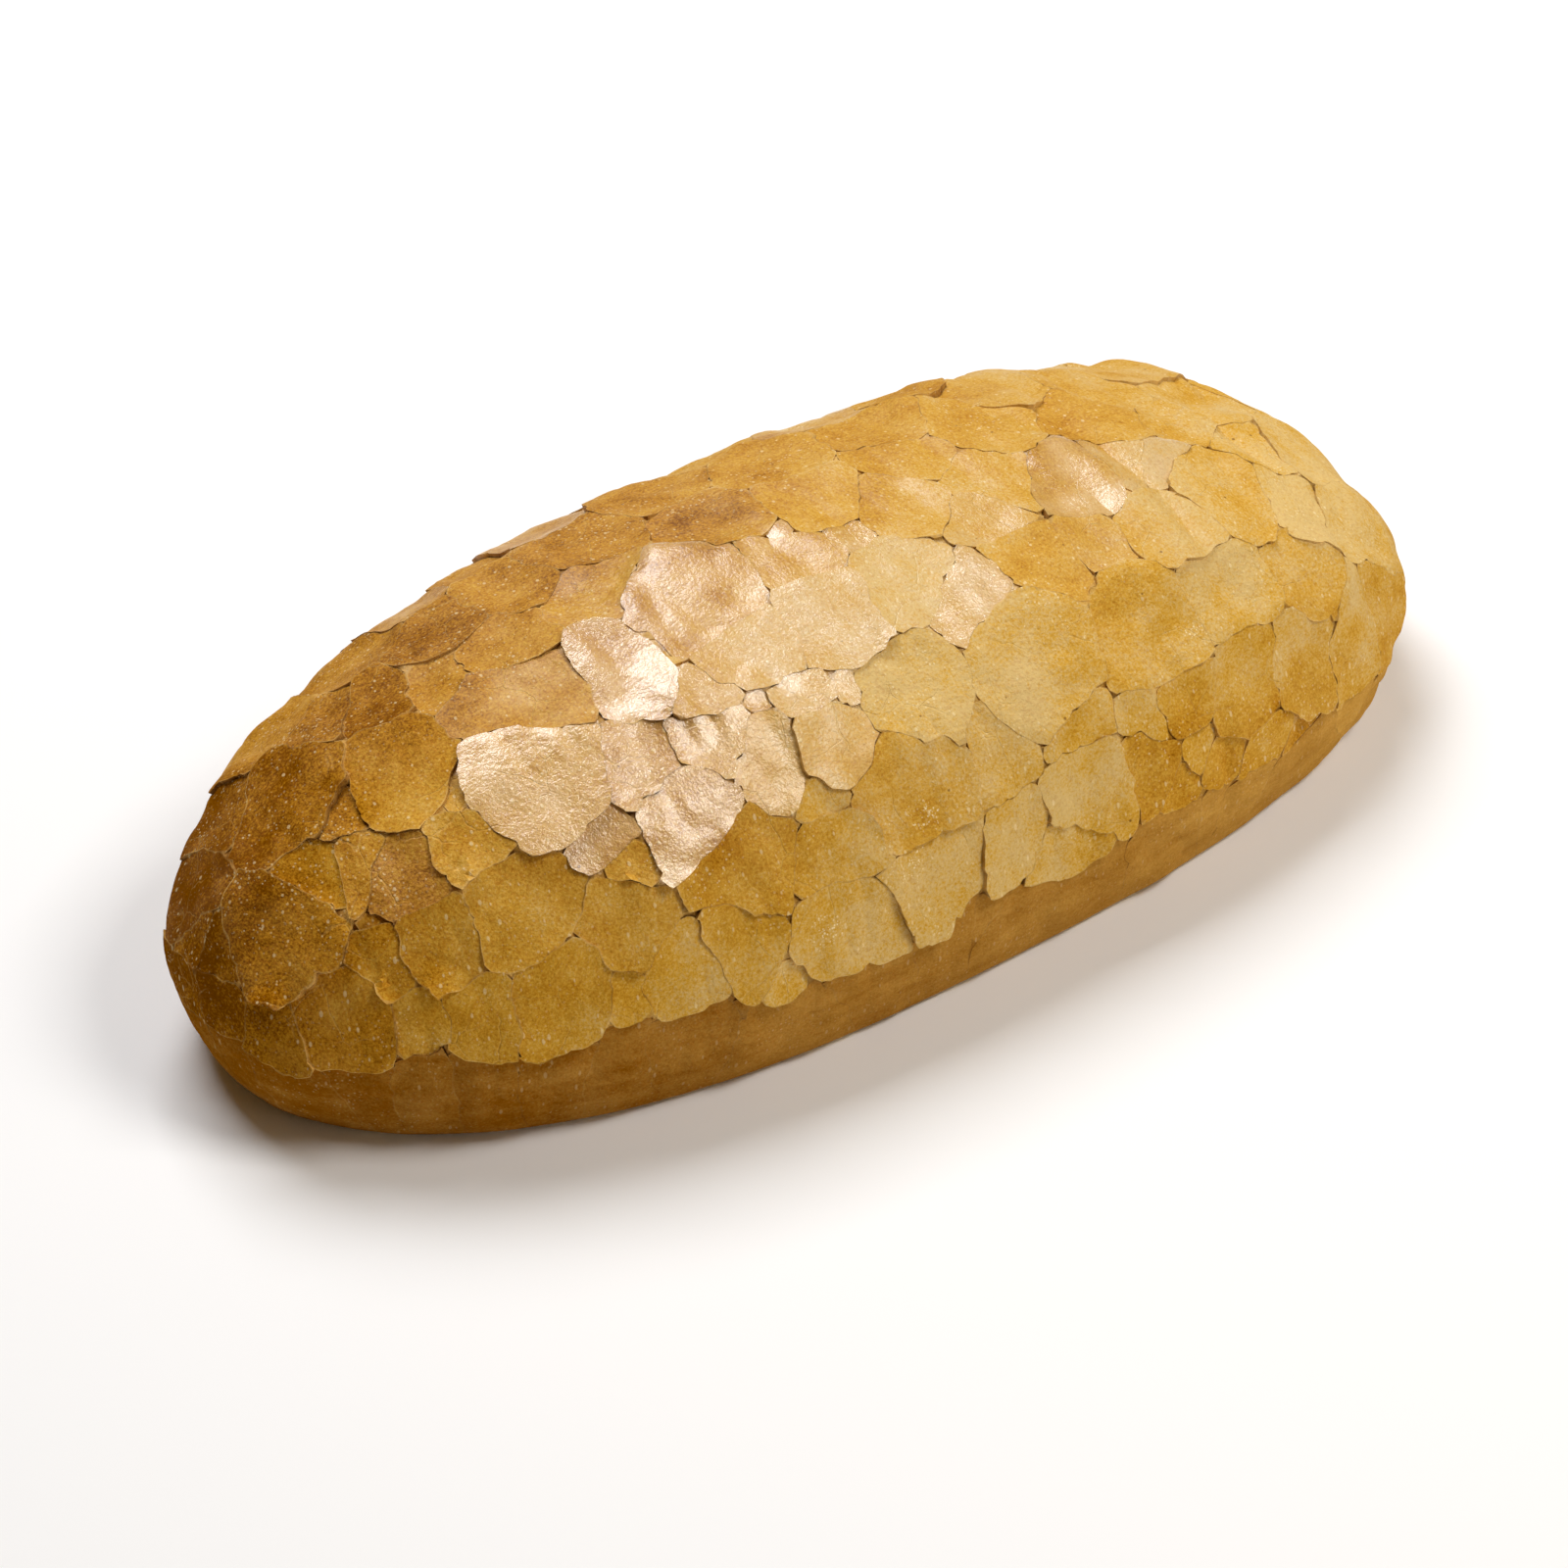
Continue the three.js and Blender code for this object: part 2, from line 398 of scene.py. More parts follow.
class Plates:
    """The crust's plates: a power diagram of their middles, with one random set of habits for each.

    Label k is plate k, and label count + k is the strip of the smooth band under it. Lengths are in
    millimetres."""

    RIVALS = 5  # neighbours that each spot is weighed against
    WARPS = (  # each warp's cell, reach and seed, and whether it is kinked
        (17.0, 2.8, 101, False),
        (7.0, 0.9, 201, True),
        (3.6, 0.55, 301, True),
        (1.9, 0.25, 351, False),
    )
    GLEAM = np.array([-0.06, -0.57, 0.82])  # direction that the glossy plates lean to

    def __init__(self, dough, form):
        self.form = form
        random = np.random.default_rng(form.seed)
        places, sizes, shine = self._scatter(dough, form, random)
        count = self.count = len(places)
        self.middle = dough.point(places)
        self.normal = dough.normal(places)
        self.size = sizes
        self.apart = np.linalg.norm(self.middle[:, None] - self.middle, axis=-1)
        np.fill_diagonal(self.apart, 1)

        # the plates' lower border dips at the +X end and rises near the -X end
        x = self.middle[:, 0]
        self.hem = form.hem + random.uniform(-2, 2, count) - 9 * ease(75, 140, x)
        self.hem += 5 * ease(-150, -115, x) * (1 - ease(-70, -30, x))
        self.level = random.uniform(-0.22, 0.22, count) * (1 + ease(20, 90, -x))
        self.tone = random.uniform(-1, 1, count)
        self.shine = shine

        # the slopes of a plate: a random one, one that lifts its lower edge, and one to face the gleam
        down = np.array([0, 0, -1]) + self.normal * self.normal[:, 2:]
        lean = random.normal(0, 0.045, (count, 3)) * (1 - 0.7 * shine[:, None])
        gleam = self.GLEAM - self.normal * (self.normal @ self.GLEAM)[:, None]
        self.tilt = lean + (0.015 + 0.045 * (1 - self.normal[:, 2:])) * down
        self.tilt = self.tilt - 0.30 * gleam * (ease(0.4, 0.9, shine))[:, None]
        self.down = unit(down)

        # among the random plates, some on the steeper flanks are flaky, but none at the +X end
        flaky = random.uniform(0, 1, count) < 0.3
        flaky &= (self.normal[:, 2] < 0.75) & (x < 30)
        flaky[: len(SHOWN_PLATES)] = [row[:2] in FLAKED_PLATES for row in SHOWN_PLATES]
        self.fray = np.where(flaky, random.uniform(0.8, 1, count), 0)

    @staticmethod
    def _scatter(dough, form, random):
        """The chosen plates, then random ones that keep their distance from every earlier plate."""
        chosen = np.array(SHOWN_PLATES, float)
        candidates = dough.grid((160, 100)).reshape(-1, 2)  # about 2 mm apart
        random.shuffle(candidates)
        spots = dough.point(candidates)
        high = spots[:, 2] > form.hem + 3
        candidates, spots = candidates[high], spots[high]
        gap = form.spacing * random.uniform(0.62, 1.12, len(spots))
        places, sizes = list(chosen[:, :2]), list(chosen[:, 2])
        free = np.ones(len(spots), bool)
        for place, size in zip(places, sizes):
            free &= np.linalg.norm(spots - dough.point(place), axis=-1) > size + gap / 2
        while free.any():
            pick = np.flatnonzero(free)[0]
            places.append(candidates[pick])
            sizes.append(gap[pick] / 2)
            free &= np.linalg.norm(spots - spots[pick], axis=-1) > (gap[pick] + gap) / 2
        shine = random.uniform(0, 0.6, len(places))
        shine[: len(chosen)] = chosen[:, 3] / GLOSSIEST
        return np.array(places), np.array(sizes), shine

    def split(self, label):
        """The plate of each label, and whether the label is the strip under it."""
        return label % self.count, label >= self.count

    def ragged(self, points):
        """The points as the plates see them: warped coarsely and then finely, so borders are ragged."""
        for cell, reach, seed, kinked in self.WARPS:
            points = warp(points, cell, reach, seed, kinked)
        return points

    def power(self, spots):
        """Power distance from each spot to each plate: squared distance less the squared radius."""
        squares = dot(spots, spots)[:, None] + dot(self.middle, self.middle) - self.size**2
        return squares - 2 * spots @ self.middle.T

    def hold(self, plate, power, height):
        """How far a spot lies within a plate rather than in the strip under it: a spot is the plate's if it
        is inside the plate's circle, or high enough above the hem."""
        return 0.5 * (1.3 * (height - self.hem[plate]) - power / (2 * self.size[plate]))

    def label(self, spots):
        """Nearest plate of each spot, or the band's strip under it."""
        power = self.power(spots)
        nearest = power.argmin(axis=1)
        held = self.hold(nearest, power[np.arange(len(spots)), nearest], spots[:, 2])
        return np.where(held < 0, nearest + self.count, nearest)

    def rivals(self, spots, label):
        """The nearest other labels and how far inside its own label each spot lies, against each of them.

        Against another plate the distance is half the difference of the power distances over the distance
        of the middles. Between a plate and its own strip it is how far the plate holds the spot."""
        rows = np.arange(len(spots))[:, None]
        plate, low = (part[:, None] for part in self.split(label))
        power = self.power(spots)
        own = power[rows, plate]
        margin = (power - own) / (2 * self.apart[plate[:, 0]])
        margin[rows, plate] = np.inf
        near = np.argpartition(margin, self.RIVALS, axis=1)[:, : self.RIVALS]
        held = self.hold(near, power[rows, near], spots[:, 2:])
        names = np.where(held < 0, near + self.count, near)
        below = np.where(low, plate, plate + self.count)
        distance = np.where(low, -1, 1) * self.hold(plate, own, spots[:, 2:])
        return np.hstack([below, names]), np.hstack([distance, margin[rows, near]])

    def tip(self, points, label):
        """How near a point is to the lowest tip of a frayed plate, 0 to 1, seen from the plate's middle."""
        plate, strip = self.split(label)
        steepness = dot(unit(points - self.middle[plate]), self.down[plate])
        return np.where(strip, 0, self.fray[plate] * ease(0.88, 0.985, steepness))

    def openness(self, points, first, second):
        """How open the border of two labels is at a point, 0 to 1: a chance for the pair, varied by noise,
        and less at the +X end and behind the crest. A flake's tip is always open.

        Under the hem a crack only runs on down from the plates' own and soon closes."""
        (one, low_one), (two, low_two) = self.split(first), self.split(second)
        chance = pair_chance(one, two, 3) - 0.5
        drift = noise(points, *OPENING)
        settled = 0.55 * ease(20, 90, points[:, 0]) - 0.15 * ease(20, 90, -points[:, 0])
        settled = settled + 0.2 * ease(0, 12, points[:, 1])
        opened = ease(-0.1, 0.5, 0.8 * chance + 0.7 * drift - settled)
        opened = np.maximum(opened, np.maximum(self.tip(points, first), self.tip(points, second)))
        reach = ease(-11, -2, points[:, 2] - np.maximum(self.hem[one], self.hem[two]))
        return np.where(low_one & low_two, reach * ease(0.25, 0.4, chance), opened)

    def flush(self, points, first, second):
        """How far two labels' heights are joined at a point of their border: 1 leaves no step."""
        (one, low_one), (two, low_two) = self.split(first), self.split(second)
        loose = 0.35 * ease(20, 90, -points[:, 0])
        joined = ease(0.25, 0.6, pair_chance(one, two, 5) + 0.45 * noise(points, *JOINING) - loose)
        return np.where(low_one & low_two, 1, np.where(low_one != low_two, 0.5 * joined, joined))

    def rise(self, points, normals, label):
        """How far a label's surface stands off the dough: towards its plane, dished, with its level and
        tilt. The dish is a square of the distance from the middle, and tanh limits it all to the bulge."""
        form = self.form
        plate, strip = self.split(label)
        offset = points - self.middle[plate]
        facing = np.maximum(dot(normals, self.normal[plate]), 0.5)
        to_plane = -dot(offset, self.normal[plate]) / facing
        dish = form.dish * (np.minimum(dot(offset, offset) / self.size[plate] ** 2, 1.4) - 0.6)
        flat = form.bulge * np.tanh((form.press * (to_plane - 0.9) + dish) / form.bulge)
        own = flat + self.level[plate] + dot(offset, self.tilt[plate])
        band = 0.5 * noise(points, *BAND_SWELLS) + 0.6 * self.level[plate] - 0.5
        return np.where(strip, band, own)


# ---- the crust


class Crust:
    """The loaf's mesh: the plates' tops and the floor of the cracks are separate sheets, joined by the
    cracks' walls. Lengths are in millimetres."""

    STEPS = 3  # steps that settle a place on a border
    STEP_REACH = 0.8  # farthest that a place moves in a step
    LEAST_SLOPE = 0.15  # least squared slope that a step is worked out with
    DRIFT_REACH = 1.6  # farthest that a place may move from the grid's
    NUDGE = 0.15  # distance over which a slope is measured
    OVERHANG = 0.25  # how far an open crack's rim hangs out over the foot of its wall
    SET_BACK = 0.02  # how far back every wall's foot stands
    SINK = 0.03  # least depth of the floor under the plates' rims
    FLOOR_REACH = 0.25  # width over which the floor rises beside a crack
    JOIN_REACH = 1.6  # distance over which a closed border's step is smoothed out
    CURL_REACH = 2.5  # width of the curled rim of an open border
    INSIDE_MOST = 8.0  # largest painted distance from a border
    LATTICE = 3.5  # spacing of the underside's points
    MERGE = 1e-7  # distance under which the underside's points are one

    def __init__(self, dough, plates, form):
        self.dough, self.plates, self.form = dough, plates, form
        places = dough.grid(form.cells)
        self.shape = places.shape[:2]
        self.place = places.reshape(-1, 2)
        self.label = plates.label(plates.ragged(dough.point(self.place)))
        self._tidy_labels()
        self.cells = self._triangles()
        self._sort_cells()

    def _index(self):
        """The grid's indices, in its own shape."""
        return np.arange(self.shape[0] * self.shape[1]).reshape(self.shape)

    def _tidy_labels(self, rounds=3):
        """Gives a place that has fewer than two of its four neighbours' labels the label of a neighbour."""
        for _ in range(rounds):
            label = self.label.reshape(self.shape)
            padded = np.pad(label, 1, mode="edge")
            sides = np.stack([padded[:-2, 1:-1], padded[2:, 1:-1], padded[1:-1, :-2], padded[1:-1, 2:]])
            alike = (sides == label).sum(axis=0)
            votes = (sides[:, None] == sides).sum(axis=1)
            winner = np.take_along_axis(sides, votes.argmax(axis=0)[None], axis=0)[0]
            self.label = np.where(alike < 2, winner, label).reshape(-1)

    def _triangles(self):
        """Two triangles a cell, cut along the diagonal that leaves out a corner with a label of its own,
        or else along each diagonal in turn."""
        index = self._index()
        corners = index[:-1, :-1], index[1:, :-1], index[1:, 1:], index[:-1, 1:]
        a, b, c, d = (corner.ravel() for corner in corners)
        label = self.label
        chequered = (a + a // self.shape[1]) % 2 == 1
        turned = (label[b] == label[d]) & ((label[a] != label[c]) | chequered)
        first = np.where(turned[:, None], np.column_stack([a, b, d]), np.column_stack([a, b, c]))
        second = np.where(turned[:, None], np.column_stack([b, c, d]), np.column_stack([a, c, d]))
        return np.concatenate([first, second])

    def _rim(self):
        """The grid's outer loop of indices, anticlockwise from above."""
        index = self._index()
        return np.concatenate([index[:-1, 0], index[-1, :-1], index[:0:-1, -1], index[0, :0:-1]])

    @staticmethod
    def _borders(sheet):
        """Directed edges of a sheet of triangles that no other triangle of the sheet takes back."""
        edges = np.concatenate([sheet[:, [0, 1]], sheet[:, [1, 2]], sheet[:, [2, 0]]])
        span = edges.max() + 1
        forward = edges[:, 0] * span + edges[:, 1]
        backward = edges[:, 1] * span + edges[:, 0]
        return edges[~np.isin(forward, backward)]

    def _sort_cells(self):
        """Splits the triangles into plate tops, with one label each, and crack floor. A top that only
        touches the rest of its plate at a corner becomes floor, so that each corner has one fan of tops."""
        label = self.label[self.cells]
        top = (label == label[:, :1]).all(axis=1)
        rim = np.zeros(len(self.place), bool)
        rim[self._rim()] = True
        while True:
            borders = self._borders(self.cells[top])
            pinched = np.bincount(borders.ravel(), minlength=len(self.place)) > 2
            if not pinched.any():
                break
            top &= ~pinched[self.cells].any(axis=1)
        self.tops, self.floor = self.cells[top], self.cells[~top]
        self.borders = borders[~(rim[borders].all(axis=1))]

    def _settle(self, index, target):
        """Moves grid places along the steepest way until they lie target inside their label's border."""
        dough, plates = self.dough, self.plates
        start = self.place[index]
        place = start.copy()
        label = self.label[index]

        def margin(where):
            spots = plates.ragged(dough.point(where))
            return plates.rivals(spots, label)[1].min(axis=1)

        nudges = (self.NUDGE, 0), (0, self.NUDGE)
        for _ in range(self.STEPS):
            here = margin(place)
            slope = np.stack([(margin(place + nudge) - here) / self.NUDGE for nudge in nudges], axis=-1)
            step = (target - here) / np.maximum(dot(slope, slope), self.LEAST_SLOPE)
            place += np.clip(step[:, None] * slope, -self.STEP_REACH, self.STEP_REACH)
            drift = place - start
            far = np.linalg.norm(drift, axis=-1, keepdims=True)
            place = start + drift * np.minimum(1, self.DRIFT_REACH / np.maximum(far, TINY))
        return place

    def _stand(self, place, label):
        """Relief over places of given labels: own rise, joined to the rivals' where the border is closed.

        Each rival's share falls with the distance to its border, and is nothing where the crack is open.
        An open border's rim curls up, most on the plate's lower side. lowest is the lower height of the two
        sides, gaping how open the nearest border is, inside how far inside its label a spot lies, and
        corner how near it is to a meeting of three labels."""
        dough, plates = self.dough, self.plates
        points, normals = dough.point(place), dough.normal(place)
        names, near = plates.rivals(plates.ragged(points), label)
        own = plates.rise(points, normals, label)
        total, weight = own.copy(), np.ones(len(own))
        lowest = own.copy()
        gaping = np.zeros(len(own))
        for column in range(names.shape[1]):
            rival, gap = names[:, column], near[:, column]
            openness = plates.openness(points, label, rival)
            joined = (1 - openness) * plates.flush(points, label, rival)
            share = joined * np.exp(-np.maximum(gap, 0) / self.JOIN_REACH)
            height = plates.rise(points, normals, rival)
            total += share * height
            weight += share
            nearest = gap <= near.min(axis=1)
            lowest = np.where(nearest, np.minimum(lowest, height), lowest)
            gaping = np.where(nearest, openness, gaping)
        height = total / weight
        inside, next_inside = np.partition(near, 1, axis=1)[:, :2].T
        plate, strip = plates.split(label)
        offset = points - plates.middle[plate]
        lower_side = ease(-0.1, 0.6, dot(unit(offset), plates.down[plate]))
        frayed = 0.15 + 0.6 * ease(0.15, 0.6, noise(points, *FRAYING))
        curl = frayed * lower_side + 2.2 * plates.tip(points, label) - 0.15
        curl = np.where(strip, 0, curl) * (1 - 0.7 * ease(-5, 10, points[:, 1]))
        height += gaping * curl * np.exp(-np.maximum(inside, 0) / self.CURL_REACH)
        return SimpleNamespace(
            points=points,
            normals=normals,
            height=height,
            lowest=np.minimum(lowest, height),
            gaping=gaping,
            inside=inside,
            corner=1 - ease(0.5, 1.8, next_inside),
        )

    def build(self):
        """Vertices in metres, triangles, and the crust's painted values for the material."""
        form = self.form
        edge = np.unique(self.borders)
        half = form.crack_width / 2
        rim = self._rim()
        deep = np.setdiff1d(self.floor, rim)
        gaping = self._stand(self.place, self.label).gaping[edge]

        place = self.place.copy()
        place[edge] = self._settle(edge, half * gaping - self.OVERHANG * gaping)
        foot_place = self.place.copy()
        foot_place[edge] = self._settle(edge, half * gaping + self.SET_BACK)

        top = self._stand(place, self.label)
        tops = self._raise(top.points, top.normals, top.height + self._creases(top.points))

        # the floor is deep along the crack's line, and rises beside it and where three labels meet
        foot = self._stand(foot_place[deep], self.label[deep])
        open_floor = foot.gaping * np.exp(-np.maximum(foot.inside - half, 0) / self.FLOOR_REACH)
        open_floor *= 1 - 0.85 * foot.corner
        sink = form.crack_depth * open_floor * (0.8 + 0.3 * noise(foot.points, *CRACK_FLOOR))
        sunk = foot.lowest + self._creases(foot.points) - self.SINK - sink
        bottoms = self._raise(foot.points, foot.normals, sunk)

        count = len(tops)
        twin = np.full(count, -1)
        twin[rim] = rim
        twin[deep] = count + np.arange(len(deep))
        i, j = self.borders.T
        upper, lower = np.column_stack([j, i, twin[i]]), np.column_stack([j, twin[i], twin[j]])
        walls = np.concatenate([upper, lower])
        walls = walls[(walls[:, 1] != walls[:, 2]) & (walls[:, 0] != walls[:, 2])]
        verts = np.concatenate([tops, bottoms])
        faces = np.concatenate([self.tops, twin[self.floor], walls])

        under_verts, under_faces = self._underside(verts, rim)
        faces = np.concatenate([faces, under_faces])
        verts = np.concatenate([verts, under_verts])

        # points that no triangle uses are left out
        used = np.isin(np.arange(len(verts)), faces)
        fresh = np.cumsum(used) - 1
        painted = self._painted(top, deep, open_floor, len(under_verts))
        painted = {name: values[used] for name, values in painted.items()}
        return self._fit(verts[used]), fresh[faces], painted

    def _painted(self, top, deep, open_floor, hidden_count):
        """The material's values: at the tops' points, then the floor's, then the underside's."""
        plate, strip = self.plates.split(self.label)
        shown = {
            "tone": self.plates.tone[plate],
            "shine": np.where(strip, 0, self.plates.shine[plate]),
            "inside": np.minimum(top.inside, self.INSIDE_MOST),
            "crack": np.zeros(len(plate)),
            "band": strip.astype(float),
            "under": np.zeros(len(plate)),
            "height": top.points[:, 2],
            "flour": self._flour(top.points),
        }
        sunken = {name: values[deep] for name, values in shown.items()}
        sunken |= {"crack": open_floor, "inside": np.zeros(len(deep))}
        none, full = np.zeros(hidden_count), np.ones(hidden_count)
        hidden = dict.fromkeys(shown, none)
        hidden |= {"under": full, "band": full, "inside": self.INSIDE_MOST * full}
        return {name: np.concatenate([shown[name], sunken[name], hidden[name]]) for name in shown}

    def _flour(self, points):
        """How thickly flour lies, 0 to 1: round patches that fade out from their middles."""
        spots = np.array(FLOUR_PATCHES, float)
        apart = np.linalg.norm(points[:, None] - self.dough.point(spots[:, :2]), axis=-1)
        return np.exp(-((apart / spots[:, 2]) ** 2)).max(axis=1)

    @staticmethod
    def _creases(points):
        """Soft swells with sharp folds between them, from the absolute values of noises, in millimetres."""
        draped = 0.42 + 0.98 * ease(10, 90, points[:, 0])
        hanging = points * (1.4, 0.7, 0.7)
        folds = 1.9 * draped * np.abs(noise(hanging, *FOLDS)) + 0.7 * np.abs(noise(hanging, *SMALL_FOLDS))
        return folds + 0.4 * noise(points, *SWELLS) + 0.09 * noise(points, *PEBBLING) - 0.5

    @staticmethod
    def _raise(points, normals, height):
        """Points moved out along the normals, fading to nothing at the floor."""
        grounded = ease(0.0, 6.0, points[:, 2])
        moved = points + normals * (height * grounded)[:, None]
        moved[:, 2] = np.maximum(moved[:, 2], 0)
        return moved

    def _underside(self, verts, rim):
        """The flat underside: the rim's loop filled with a lattice of points that dip up by noise."""
        spacing, loop = self.LATTICE, verts[rim]
        reach = np.abs(loop[:, :2]).max(axis=0)
        x = np.arange(-reach[0], reach[0], spacing)
        y = np.arange(-reach[1], reach[1], spacing * math.sqrt(3) / 2)
        lattice = np.stack(np.meshgrid(x, y, indexing="ij"), axis=-1)
        lattice[:, 1::2, 0] += spacing / 2
        lattice = lattice.reshape(-1, 2)

        # a point stays if it is still within the loop when moved out by a little over the spacing
        moved = lattice / (1 - 1.1 * spacing / reach)
        loop_angle = np.arctan2(loop[:, 1], loop[:, 0])
        order = np.argsort(loop_angle)
        radius = np.interp(
            np.arctan2(moved[:, 1], moved[:, 0]),
            loop_angle[order],
            np.hypot(loop[order, 0], loop[order, 1]),
            period=2 * math.pi,
        )
        lattice = lattice[np.hypot(moved[:, 0], moved[:, 1]) < radius]

        flat = [Vector(xy) for xy in np.concatenate([loop[:, :2], lattice]).tolist()]
        around = [(k, (k + 1) % len(rim)) for k in range(len(rim))]
        made, _, triangles, sources, _, _ = delaunay_2d_cdt(flat, around, [], 1, self.MERGE)
        origin = np.array([source[0] for source in sources])
        inner = np.array([xy[:] for xy in made])[origin >= len(rim)]
        level = np.column_stack([inner, np.zeros(len(inner))])
        height = 0.9 * ease(-0.1, 0.9, noise(level, *PITS))
        height += 0.25 * ease(0.2, 1, noise(level, *SMALL_PITS))
        place = np.empty(len(made), int)
        place[origin < len(rim)] = rim[origin[origin < len(rim)]]
        place[origin >= len(rim)] = len(verts) + np.arange(len(inner))
        triangles = np.array([list(t) for t in triangles])
        return np.column_stack([inner, height]), place[triangles][:, ::-1]

    @staticmethod
    def _fit(verts):
        """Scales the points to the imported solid's box, in metres."""
        low, high = verts.min(axis=0), verts.max(axis=0)
        return ((verts - low) / (high - low) * SIZE + LOW) * MM


def make_mesh(name, verts, faces, painted):
    """A mesh of triangles with its painted values, shaded smooth but for edges that fold sharply."""
    mesh = bpy.data.meshes.new(name)
    mesh.vertices.add(len(verts))
    mesh.vertices.foreach_set("co", verts.ravel().astype(np.float32))
    mesh.loops.add(faces.size)
    mesh.loops.foreach_set("vertex_index", faces.ravel().astype(np.int32))
    mesh.polygons.add(len(faces))
    mesh.polygons.foreach_set("loop_start", np.arange(0, faces.size, 3, dtype=np.int32))
    for key, values in painted.items():
        layer = mesh.attributes.new(key, "FLOAT", "POINT")
        layer.data.foreach_set("value", values.astype(np.float32))
    mesh.update(calc_edges=True)
    mesh.validate()
    mesh.set_sharp_from_angle(angle=SHARP)
    return add_object(name, mesh)


def add_object(name, data, place=(0, 0, 0), back=None):
    """An object in the scene, turned so that its own +Z points back if that is given."""
    made = bpy.data.objects.new(name, data)
    made.location = place
    if back is not None:
        made.rotation_mode = "QUATERNION"
        made.rotation_quaternion = (-back).to_track_quat("-Z", "Y")
    bpy.context.scene.collection.objects.link(made)
    return made


# ---- shader sums


class Wire:
    """A socket of a node tree. Arithmetic on it adds Math nodes, and node() adds any other node."""

    def __init__(self, tree, socket=None):
        self.tree = tree
        self.socket = socket

    def node(self, kind, settings=None, sockets=None, output=0):
        """Adds a node of a type: first its settings, then a value or a link for each socket."""
        made = self.tree.nodes.new(kind)
        for key, value in (settings or {}).items():
            setattr(made, key, value)
        for key, value in (sockets or {}).items():
            if isinstance(value, Wire):
                self.tree.links.new(value.socket, made.inputs[key])
            else:
                made.inputs[key].default_value = value
        return Wire(self.tree, made.outputs[output]) if made.outputs else Wire(self.tree)

    def other(self, output):
        """Another output of the same node."""
        return Wire(self.tree, self.socket.node.outputs[output])

    def _math(self, operation, *values, clamp=False):
        settings = {"operation": operation, "use_clamp": clamp}
        return self.node("ShaderNodeMath", settings, dict(enumerate(values)))

    def __add__(self, other):
        return self._math("ADD", self, other)

    def __radd__(self, other):
        return self._math("ADD", other, self)

    def __sub__(self, other):
        return self._math("SUBTRACT", self, other)

    def __rsub__(self, other):
        return self._math("SUBTRACT", other, self)

    def __mul__(self, other):
        return self._math("MULTIPLY", self, other)

    def clamp(self):
        """The value held to 0 to 1."""
        return self._math("ADD", self, 0.0, clamp=True)

    def step(self, low, high):
        """0 below low and 1 above high, eased between."""
        settings = {"interpolation_type": "SMOOTHSTEP"}
        return self.node("ShaderNodeMapRange", settings, {"Value": self, 1: low, 2: high})

    def mix(self, first, second):
        """A colour between two, with this value, held to 0 to 1, as the factor."""
        sockets = {0: self, 6: first, 7: second}
        return self.node("ShaderNodeMix", {"data_type": "RGBA"}, sockets, output=2)

    def ramp(self, first, *between, last):
        """A colour by this value, from the first at 0 to the last at 1. Each one between has its place."""
        made = self.node("ShaderNodeValToRGB", None, {0: self})
        stops = made.socket.node.color_ramp.elements
        for place, _ in between:
            stops.new(place)
        for stop, tint in zip(stops, (first, *(tint for _, tint in between), last)):
            stop.color = colour(tint)
        return made

    def vector_math(self, operation, *values):
        """An operation on this vector and on others."""
        sockets = dict(enumerate((self, *values)))
        return self.node("ShaderNodeVectorMath", {"operation": operation}, sockets)


def colour(values):
    """A colour property as the four numbers that a colour socket takes."""
    return (*values, 1.0)


def fractal(coords, size, detail=2.0, roughness=0.5, output=0):
    """Noise of about 0 to 1 whose features are size metres across."""
    sockets = {"Vector": coords, "Scale": 1 / size, "Detail": detail, "Roughness": roughness}
    return coords.node("ShaderNodeTexNoise", None, sockets, output)


def specks(coords, size, share, radius):
    """1 inside round specks, 0 outside: one in each of a share of the cells, which are size metres wide.
    Their radius is a share of a cell's width, and varies."""
    cell = coords.node("ShaderNodeTexVoronoi", None, {"Vector": coords, "Scale": 1 / size})
    chance = coords.node("ShaderNodeSeparateColor", None, {0: cell.other("Color")})
    reach = (0.5 + chance.other(1) * 0.8) * radius
    inside = 1 - cell.step(reach - 0.3 * radius, reach + 0.3 * radius)
    return inside * chance.step(1 - share, 1.001 - share)


# ---- finishes

# The values that the crust's mesh is painted with.
PAINTED = ("tone", "shine", "inside", "crack", "band", "under", "height", "flour")


def crust_wires(tree):
    """What the crust's finish is worked out from: the place in metres, the mesh's painted values, whose
    lengths are in millimetres, and four noises round 0, from broad to fine."""
    start = Wire(tree)
    coords = start.node("ShaderNodeTexCoord", output=3)
    along = start.node("ShaderNodeSeparateXYZ", None, {0: coords})
    painted = {
        name: start.node("ShaderNodeAttribute", {"attribute_name": name}, output=2) for name in PAINTED
    }
    return SimpleNamespace(
        coords=coords,
        along=along,
        across=along.other(1),
        broad=fractal(coords, 0.045) - 0.5,
        patchy=fractal(coords, 0.011, 3, 0.6) - 0.5,
        mottle=fractal(coords, 0.0022, 3, 0.65) - 0.5,
        fine=fractal(coords, 0.0006, 2, 0.7) - 0.5,
        **painted,
    )


